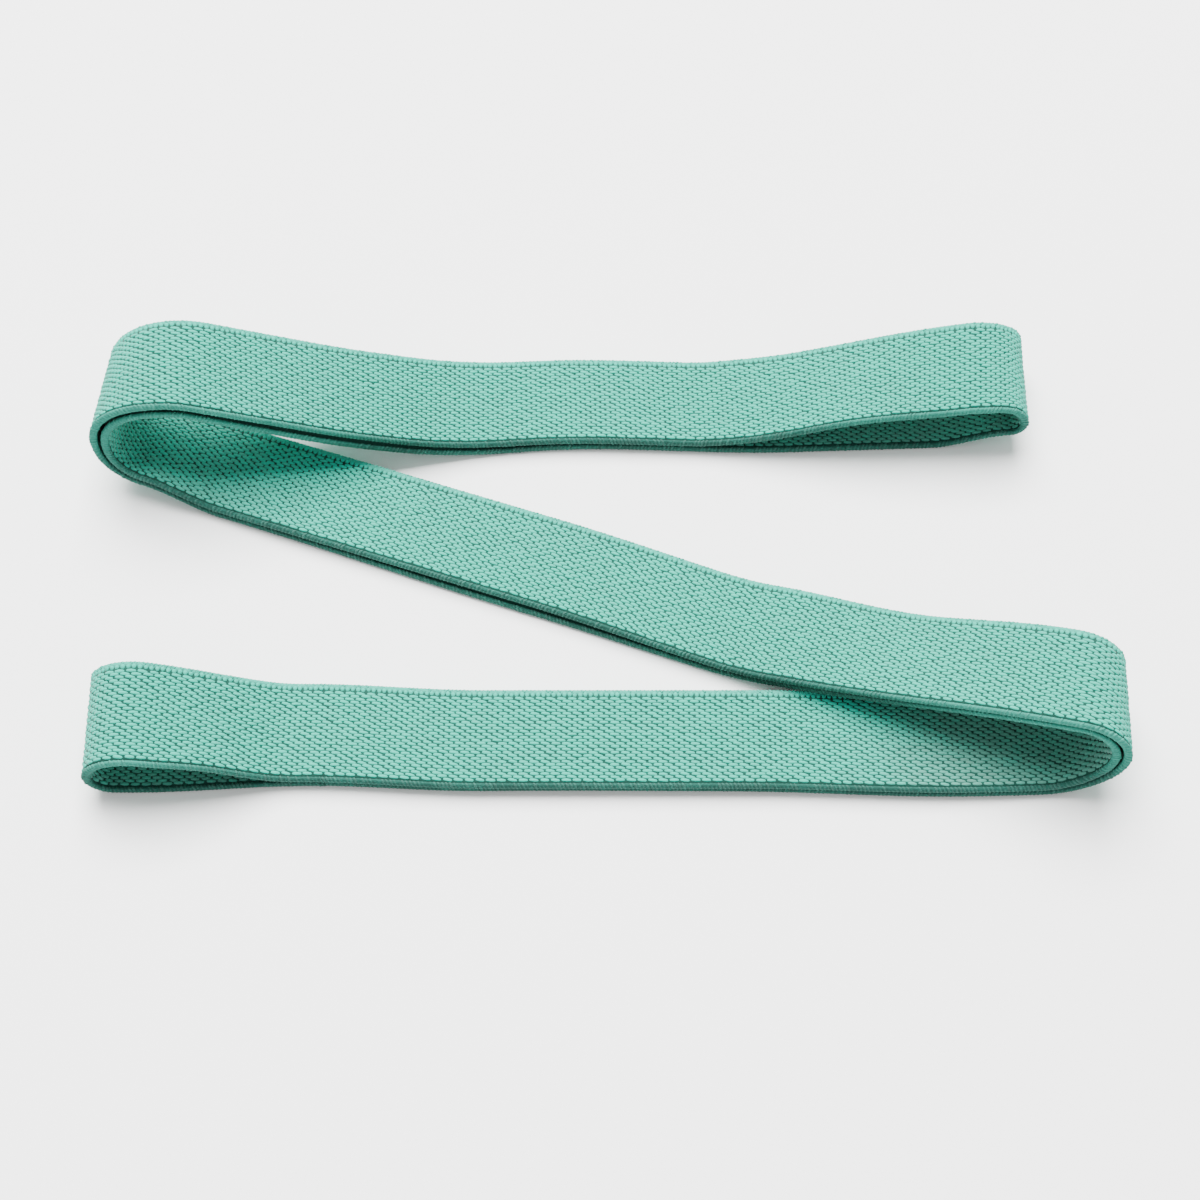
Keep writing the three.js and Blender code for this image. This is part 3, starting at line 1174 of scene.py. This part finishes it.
def carry(mesh: bpy.types.Mesh, path: Path, face: Face = Face.OUTSIDE) -> bpy.types.Mesh:
    """Bends a flat mesh onto a path, keeping its flat coordinates as a UV map.

    Args:
        mesh: A mesh in distances along, across and out of the layer's middle.
        path: Where the layer lies.
        face: The face that the mesh is laid out on.

    Returns:
        The same mesh, in the row frame.
    """
    flat = points_of(mesh).astype(float)
    uv = mesh.uv_layers.new(name="flat")
    corners = np.empty(len(mesh.loops), np.int32)
    mesh.loops.foreach_get("vertex_index", corners)
    uv.data.foreach_set("uv", flat[corners][:, :2].astype(np.float32).ravel())
    placed = path.place(flat[:, 0], flat[:, 1], flat[:, 2] * face.value)
    mesh.vertices.foreach_set("co", placed.astype(np.float32).ravel())
    if path.hand() * face.value < 0:
        mesh.flip_normals()
    mesh.shade_smooth()
    mesh.update()
    return mesh


# ------------------------------------------------------------------ motion


@dataclass(frozen=True)
class Motion:
    """What a piece moves with: one body, or a bend from one body to another between two points."""

    body: str
    onto: str = ""
    start: tuple[float, float, float] = (0, 0, 0)
    end: tuple[float, float, float] = (0, 0, 0)

    def give(self, piece: bpy.types.Object) -> None:
        """Attaches a piece to its body, or, for a bend, only bakes its place into its mesh."""
        if self.onto:
            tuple(self.start)
            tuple(self.end)
            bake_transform(piece)
        else:
            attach(piece, self.body)


# ------------------------------------------------------------------ lengths of webbing


@dataclass
class Length:
    """One length of one layer of webbing, with everything woven into it.

    run and layer name the design's pieces that it stands for. A column of floats lies at phase, and
    tilt is 1 or -1 for the way the floats lean. inside is whether its inside face is seen, and joined is
    what is sewn to it.
    """

    name: str
    run: str
    layer: str
    path: Path
    start: Cut
    end: Cut
    motion: Motion
    held: Held = Held.LAID
    pitch: float = WEBBING.column
    phase: float = 0.0
    tilt: float = 1.0
    inside: bool = False
    seed: int = 1
    joined: list[bpy.types.Object] = field(default_factory=list)

    def build(self, loom: Loom) -> None:
        """Weaves the length and carries it onto its path.

        Args:
            loom: What weaves it.
        """
        self.ground = finished(f"{self.name}_ground", carry(self._ground(loom), self.path))
        cover = carry(self._worn(self._weave(loom, Face.OUTSIDE), Face.OUTSIDE), self.path)
        self.cover = finished(f"{self.name}_outside_weave", cover)
        self.others = []
        if self.inside:
            lining = carry(self._worn(self._weave(loom, Face.INSIDE), Face.INSIDE), self.path, Face.INSIDE)
            self.others.append(finished(f"{self.name}_inside_weave", lining))
        for edge in Edge:
            rolled = self._lit(carry(self._edge(loom, edge), self.path), edge)
            self.others.append(finished(f"{self.name}_{edge.name.lower()}_roll", rolled))

    def dress(self, floor: bpy.types.Object) -> None:
        """Gives each piece its motion and hides the design's pieces that it stands for.

        Args:
            floor: What the band rests on; not used.
        """
        nodes = f"{self.run}_{self.layer}_" if self.layer else f"{self.run}_"
        for piece in [self.ground, self.cover, *self.others]:
            self.motion.give(piece)
        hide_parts(nodes + "core", nodes + "inside_cover")
        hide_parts(nodes + "outside_cover")
        for piece, edge in zip(self.others[-2:], Edge):
            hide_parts(f"{nodes}{edge.name.lower()}_edge")
        size = (2 * WEBBING.roll_centre, self.end.at - self.start.at)
        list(self.others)
        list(self.joined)
        LOG.info("%s: %.0f mm of webbing", self.name, size[1] / MM)

    def _swept(self, section: np.ndarray, name: str, finish: YarnFinish, loom: Loom) -> bpy.types.Mesh:
        """A flat mesh of one section, of across and out, along the whole length.

        Args:
            section: Points across and out, one in each row.
            name: Name for the mesh.
            finish: Its finish.
            loom: What holds the materials.

        Returns:
            A closed flat mesh, cut slanted where the length's ends are.
        """
        steps = max(2, math.ceil((self.end.at - self.start.at) / WEBBING.step))
        across, out = section[:, 0], section[:, 1]
        first, last = self.start.along(across), self.end.along(across)
        rings = []
        for t in np.linspace(0, 1, steps + 1):
            rings.append(np.stack([first + (last - first) * t, across, out], axis=1))
        points, faces = prism(np.array(rings))
        mesh = bpy.data.meshes.new(name)
        mesh.from_pydata(points.tolist(), [], faces)
        mesh.materials.append(loom.materials.get(finish))
        return mesh

    def _ground(self, loom: Loom) -> bpy.types.Mesh:
        """The ground cloth, under the floats, coloured very dark as painted shade in the gaps between
        them.
        """
        half, side = WEBBING.ground / 2, WEBBING.roll_centre
        over = np.linspace(-side, side, 13)
        section = [(v, -half) for v in over] + [(v, half) for v in reversed(over)]
        return join_flat(self.name, [self._swept(np.array(section), "ground", GAP_SHADE_GROUND, loom)])

    def _weave(self, loom: Loom, face: Face) -> bpy.types.Mesh:
        """The floats of one face, with the short ones that bind it along the far edge.

        Args:
            loom: What weaves them.
            face: The face that they are on.

        Returns:
            A flat mesh in distances along, across and out of the layer's middle.
        """
        surface = WEBBING.ground / 2
        tilt = -WEBBING.float_tilt * self.tilt * face.value
        body = Rows(
            self.start, self.end, self.pitch, self.phase, WEBBING.rows, WEBBING.row, WEBBING.first_row,
            surface, stagger=0.5, tilt=tilt, waver=WEBBING.float_waver, stray=WEBBING.float_stray,
            seed=self.seed + (50 if face is Face.INSIDE else 0),
        )
        last_row = WEBBING.first_row + WEBBING.row * (WEBBING.rows + 0.5)
        binding = replace(
            body, pitch=self.pitch / 2, phase=self.phase + self.pitch / 4, rows=1, tilt=math.pi / 2,
            across=last_row, stagger=0.0, seed=self.seed + 7,
        )
        parts = [
            loom.repeat("floats", loom.float, body, FLOAT_YARN),
            loom.repeat("binding", loom.short, binding, FLOAT_YARN),
        ]
        return join_flat(self.name, parts)

    def _worn(self, mesh: bpy.types.Mesh, face: Face) -> bpy.types.Mesh:
        """Sets the floats' tone: lighter outside, and darker with painted shade inside the loops and
        folds.

        Args:
            mesh: Flat floats.
            face: The face that they are on.

        Returns:
            The same mesh.
        """
        tones = tones_of(mesh)
        if face is Face.INSIDE:
            # Painted shade over the loops' inner faces.
            tones += SHADING.inside
        else:
            along = points_of(mesh)[:, 0].astype(float)
            # Painted shade where a fold hides the outside face.
            tones += SHADING.outside - SHADING.folded * self.path.hidden(along)
        mesh.attributes["tone"].data.foreach_set("value", tones)
        return mesh

    @staticmethod
    def _lit(mesh: bpy.types.Mesh, edge: Edge) -> bpy.types.Mesh:
        """Paints light on the far roll and shade on the near one, which lightens as it rises off the
        floor.

        Args:
            mesh: A roll in its place.
            edge: The edge that it is on.

        Returns:
            The same mesh.
        """
        tones = tones_of(mesh)
        tones *= SHADING.edge_spread
        # Painted light on the far roll, and painted shade on the near roll, less of it higher up.
        if edge is Edge.FAR:
            tones += SHADING.far_edge
        else:
            lift = smooth((points_of(mesh)[:, 2] - SHADING.lift_from) / SHADING.lift_over)
            tones += SHADING.near_edge + SHADING.near_lift * lift
        mesh.attributes["tone"].data.foreach_set("value", tones)
        return mesh

    def _edge(self, loom: Loom, edge: Edge) -> bpy.types.Mesh:
        """A rolled edge with its ribs.

        Args:
            loom: What weaves it.
            edge: The edge that it is on.

        Returns:
            A flat mesh.
        """
        turns = np.linspace(0, 2 * math.pi, 12, endpoint=False)
        side = edge.value
        wide = WEBBING.roll - WEBBING.roll_tuck + (WEBBING.far_roll_extra if edge is Edge.FAR else 0)
        tall = WEBBING.thickness / 2 - WEBBING.rib_cover
        middle = side * (WEBBING.width / 2 - wide)
        section = np.stack([middle + wide * np.cos(turns), tall * np.sin(turns)], axis=1)
        roll = self._swept(section, "roll", GROOVE_YARN, loom)
        ribs = Rows(
            self.start, self.end, WEBBING.rib, self.phase, across=side * WEBBING.roll_centre,
            tilt=0.0 if side > 0 else math.pi, waver=0.03, seed=self.seed + 20 + side,
        )
        return join_flat(self.name, [roll, loom.repeat("ribs", loom.rib, ribs, EDGE_YARN)])


# ------------------------------------------------------------------ the sewn join


@dataclass(frozen=True)
class RaisedPath(Path):
    """A path raised off another one's outside face."""

    below: Path
    rise: float

    def place(self, along: np.ndarray, across: np.ndarray, out: np.ndarray) -> np.ndarray:
        """See Path."""
        return self.below.place(along, across, out + self.rise)


@dataclass
class Join:
    """The lap where the webbing's two ends are sewn together, with two rows of zigzag stitches."""

    path: Path
    middle: float
    length: float = 40 * MM
    half: float = 14 * MM
    thickness: float = 2.0 * MM
    corner: float = 0.4 * MM
    gap: float = 0.15 * MM
    float_rows: int = 27
    float_stray: float = 0.05 * MM
    inset: float = 5 * MM
    stitches: int = 16
    stitch_pitch: float = 1.5 * MM
    stitch_lean: float = 1.05
    stitch_rise: float = 0.3 * MM
    stitch_reach: float = 2 * MM

    def build(self, loom: Loom) -> None:
        """Weaves the lap and sews it.

        Args:
            loom: What weaves it.
        """
        lap = RaisedPath(self.path, WEBBING.thickness / 2 + self.gap + self.thickness / 2)
        start, end = Cut(self.middle - self.length / 2), Cut(self.middle + self.length / 2)
        parts = [self._plate(loom, start, end), self._floats(loom, start, end)]
        self.lap = finished("join_lap_webbing", carry(join_flat("lap", parts), lap))
        self.rows = []
        for name, side in (("upper", -1), ("lower", 1)):
            row = self._stitches(loom, self.middle + side * (self.length / 2 - self.inset))
            self.rows.append(finished(f"join_{name}_row", carry(row, lap)))

    def dress(self) -> None:
        """Attaches each piece to the upper run and hides the design's piece that it stands for."""
        for piece, node, slot in zip(
            [self.lap, *self.rows], ("join_lap", "join_upper_stitches", "join_lower_stitches"),
            ("lap", "stitch", "stitch"),
        ):
            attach(piece, "upper_run")
            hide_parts(node)
        LOG.info("join: a %.0f mm lap with two rows of stitches", self.length / MM)

    def _plate(self, loom: Loom, start: Cut, end: Cut) -> bpy.types.Mesh:
        """The lap's own ground cloth, with rounded edges.

        Args:
            loom: What holds the materials.
            start: Where the lap starts.
            end: Where it ends.

        Returns:
            A closed flat mesh.
        """
        thick, side, corner = self.thickness / 2, self.half, self.corner
        section = [(v, -thick) for v in np.linspace(corner - side, side - corner, 11)]
        section += [(side, corner - thick), (side, thick - corner)]
        section += [(v, thick) for v in np.linspace(side - corner, corner - side, 11)]
        section += [(-side, thick - corner), (-side, corner - thick)]
        rings = [[(along, v, h) for v, h in section] for along in np.linspace(start.at, end.at, 20)]
        points, faces = prism(np.array(rings))
        mesh = bpy.data.meshes.new("lap_ground")
        mesh.from_pydata(points.tolist(), [], faces)
        mesh.materials.append(loom.materials.get(EDGE_YARN))
        return mesh

    def _floats(self, loom: Loom, start: Cut, end: Cut) -> bpy.types.Mesh:
        """The lap's floats."""
        first_row = -(self.float_rows - 1) / 2 * WEBBING.row
        rows = Rows(
            start, end, WEBBING.column, self.middle, self.float_rows, WEBBING.row, first_row,
            self.thickness / 2, stagger=0.5, tilt=0.07, waver=0.07, stray=self.float_stray, seed=701,
        )
        return loom.repeat("lap_floats", loom.float, rows, LAP_YARN)

    def _stitches(self, loom: Loom, at: float) -> bpy.types.Mesh:
        """One zigzag row across the lap.

        Args:
            loom: What sews it.
            at: Distance along the strip.

        Returns:
            A flat mesh.
        """
        parts = []
        middle = self.stitches / 2 - 0.25
        for turn, shift in ((self.stitch_lean, 0), (-self.stitch_lean, 0.5)):
            rows = Rows(
                Cut(at - self.stitch_reach), Cut(at + self.stitch_reach), 1.0, at, self.stitches,
                self.stitch_pitch, (shift - middle) * self.stitch_pitch,
                self.thickness / 2 + self.stitch_rise, tilt=turn, seed=801,
            )
            parts.append(loom.repeat("stitches", loom.stitch, rows, STITCH_THREAD))
        return join_flat("stitch_row", parts)


# ------------------------------------------------------------------ the band


class Band:
    """The whole band, as lengths of webbing that move with its runs and loops."""

    def __init__(self, strip: Strip, loom: Loom) -> None:
        """Lists the lengths."""
        self.strip = strip
        self.loom = loom
        self.lengths = [*self._strands(), *self._loops()]
        left = strip.left
        middle = left.begins + sum(left.profile.slope_range) / 2 / math.cos(math.radians(left.slant))
        self.join = Join(StrandPath(strip, Strand.B), middle)

    def _strands(self) -> list[Length]:
        """The lengths of both strands, from the lower loop to the upper one.

        Returns:
            Twelve lengths, strand A and then strand B of each.
        """
        strip = self.strip
        low_cut = -strip.lower_loop.first
        high_cut = strip.end + strip.upper_loop.first
        left_cut = strip.split + LEFT_FOLD_CUT
        stretch_cut = high_cut - UPPER_STRETCH
        begin = strip.place(np.array([low_cut, RIGHT_FOLD_CUT]), np.zeros(2), np.zeros(2))
        finish = strip.place(np.array([stretch_cut, high_cut]), np.zeros(2), np.zeros(2))
        top = WEBBING.mid_height * 2 + BLEND_ABOVE_RUN
        peaks = []
        for fold in (strip.right, strip.left):
            cut = fold.peak_cut()
            peaks.append((cut, fold.place(np.array([cut.at]), np.zeros(1), np.zeros(1))[0]))
        (right_peak, right_top), (left_peak, left_top) = peaks
        clear = WEBBING.layer_offset + WEBBING.thickness + BLEND_UNDER_ROOF
        parts = [
            ("lower_run_stretch", "lower_run", Cut(low_cut), Cut(RIGHT_FOLD_CUT), Held.LAID,
             Motion("lower_loop", "lower_run", tuple(begin[0]), tuple(begin[1]))),
            ("right_fold", "lower_run", Cut(RIGHT_FOLD_CUT), right_peak, Held.FOLDED,
             Motion("lower_run", "middle_run", (0, 0, top), (0, 0, right_top[2] - clear))),
            ("middle_run", "middle_run", right_peak, Cut(left_cut), Held.LAID,
             Motion("middle_run")),
            ("left_fold", "middle_run", Cut(left_cut), left_peak, Held.FOLDED,
             Motion("middle_run", "upper_run", (0, 0, top), (0, 0, left_top[2] - clear))),
            ("upper_run", "upper_run", left_peak, Cut(stretch_cut), Held.LAID,
             Motion("upper_run")),
            ("upper_run_stretch", "upper_run", Cut(stretch_cut), Cut(high_cut), Held.LAID,
             Motion("upper_run", "upper_loop", tuple(finish[0]), tuple(finish[1]))),
        ]
        lengths = []
        for seed, (name, run, start, end, held, motion) in enumerate(parts):
            for strand in Strand:
                lengths.append(Length(
                    f"{name}_{strand.letter}", run, strand.letter, StrandPath(strip, strand), start, end,
                    motion, held, tilt=strand.value, seed=100 * seed + strand.value,
                ))
        return lengths

    def _loops(self) -> list[Length]:
        """The two loop ends, woven so that their floats meet those of both strands.

        Returns:
            Two lengths.
        """
        lengths = []
        strip = self.strip
        for name, path, cut, tilt in (
            ("lower_loop", strip.lower_loop, -strip.lower_loop.first, 1),
            ("upper_loop", strip.upper_loop, strip.end + strip.upper_loop.first, -1),
        ):
            short = cut % WEBBING.column if tilt > 0 else -cut % WEBBING.column
            woven = path.last - path.first - 2 * short
            fitted = woven / round(woven / WEBBING.column)
            lengths.append(Length(
                name, name, "", path, Cut(path.first), Cut(path.last), Motion(name), Held.FOLDED,
                pitch=fitted, phase=path.first + short, tilt=tilt, inside=True, seed=900 + tilt,
            ))
        return lengths

    def build(self) -> None:
        """Weaves every length."""
        for length in self.lengths:
            length.build(self.loom)
        self.join.build(self.loom)

    def dress(self, floor: bpy.types.Object) -> None:
        """Gives every length its motion, hides the design's pieces that it stands for, and hands the
        join's pieces to the length they are sewn to.
        """
        self.join.dress()
        for length in self.lengths:
            if length.name == "upper_run_b":
                length.joined = [self.join.lap, *self.join.rows]
            length.dress(floor)


# ------------------------------------------------------------------ the studio


@dataclass(frozen=True)
class Studio:
    """The floor, the lights and the camera."""

    target: tuple[float, float, float] = (0.0008, -0.0115, 0.0)
    distance: float = 0.6335
    elevation: float = 63.3
    lens: float = 60.06
    sensor: float = 36
    half_floor: float = 3.0
    floor_grey: float = 0.93
    sky_strength: float = 0.9
    key_place: tuple[float, float, float] = (-0.36, 1.8, 3.4)
    key_size: float = 3.1
    key_power: float = 830.0

    def floor(self) -> bpy.types.Object:
        """A plain pale floor.

        Returns:
            The floor, which is not part of the band.
        """
        mesh = bpy.data.meshes.new("floor")
        half = self.half_floor
        corners = [(-half, -half, 0), (half, -half, 0), (half, half, 0), (-half, half, 0)]
        mesh.from_pydata(corners, [], [(0, 1, 2, 3)])
        floor = bpy.data.objects.new("floor", mesh)
        bpy.context.scene.collection.objects.link(floor)
        material = bpy.data.materials.new("pale_floor")
        material.use_nodes = True
        surface = material.node_tree.nodes["Principled BSDF"]
        surface.inputs["Base Color"].default_value = (self.floor_grey,) * 3 + (1,)
        surface.inputs["Roughness"].default_value = 0.9
        surface.inputs["Specular IOR Level"].default_value = 0.1
        mesh.materials.append(material)
        floor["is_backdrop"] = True
        return floor

    def lights(self) -> None:
        """A wide soft light from above and behind, and a pale room."""
        world = bpy.data.worlds.new("pale_room")
        bpy.context.scene.world = world
        world.use_nodes = True
        sky = world.node_tree.nodes["Background"]
        sky.inputs["Color"].default_value = (1, 1, 1, 1)
        sky.inputs["Strength"].default_value = self.sky_strength
        lamp = bpy.data.lights.new("key", "AREA")
        lamp.size = self.key_size
        lamp.energy = self.key_power
        key = bpy.data.objects.new("key", lamp)
        key.location = self.key_place
        key.rotation_euler = (-key.location).to_track_quat("-Z", "Y").to_euler()
        bpy.context.scene.collection.objects.link(key)

    def camera(self) -> None:
        """The camera, looking down from in front."""
        data = bpy.data.cameras.new("camera")
        data.lens = self.lens
        data.sensor_width = self.sensor
        camera = bpy.data.objects.new("camera", data)
        rise = math.radians(self.elevation)
        x, y, z = self.target
        camera.location = (x, y - self.distance * math.cos(rise), z + self.distance * math.sin(rise))
        camera.rotation_euler = (math.pi / 2 - rise, 0, 0)
        bpy.context.scene.collection.objects.link(camera)
        bpy.context.scene.camera = camera


def write_size() -> None:
    """Works out the design's box and the finished object's box."""
    for name, corners in (("cad", CAD_BOX), ("visual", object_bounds())):
        [list(corner) for corner in corners]


def main() -> None:
    """Builds the band in its studio."""
    studio = Studio()
    floor = studio.floor()
    studio.lights()
    studio.camera()
    loom = Loom(Materials())
    band = Band(Strip(), loom)
    band.build()
    loom.clear()
    band.dress(floor)
    write_size()


if __name__ == "__main__":
    main()
